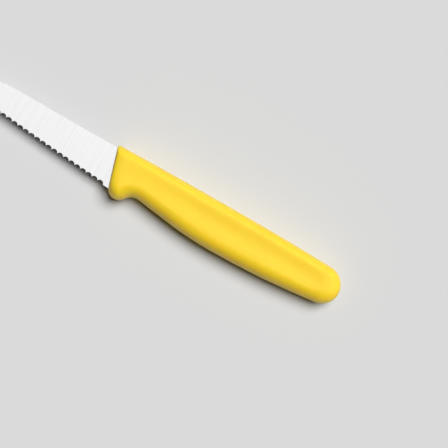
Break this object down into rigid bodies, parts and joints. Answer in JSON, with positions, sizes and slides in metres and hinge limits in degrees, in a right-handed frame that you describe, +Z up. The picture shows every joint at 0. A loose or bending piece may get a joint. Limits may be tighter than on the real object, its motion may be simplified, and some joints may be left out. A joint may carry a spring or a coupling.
{
  "type": "vegetable knife",
  "caption": "Small serrated vegetable knife: a ground steel blade with a scalloped edge and a hidden tang, in a moulded yellow plastic handle with a guard and a belly.",
  "frame": {"origin": "bottom centre of the bounding box, with the knife lying on its right side", "axes": "+X from the point to the butt of the handle, +Y from the edge to the spine, +Z up out of the left side"},
  "size_m": [0.1868, 0.0212, 0.012],
  "materials": {
    "steel": "fine satin, ground across the blade",
    "yellow_plastic": "finely textured satin moulding"
  },
  "bodies": {
    "root": {"blade": "steel", "handle": "yellow_plastic"}
  },
  "joints": []
}
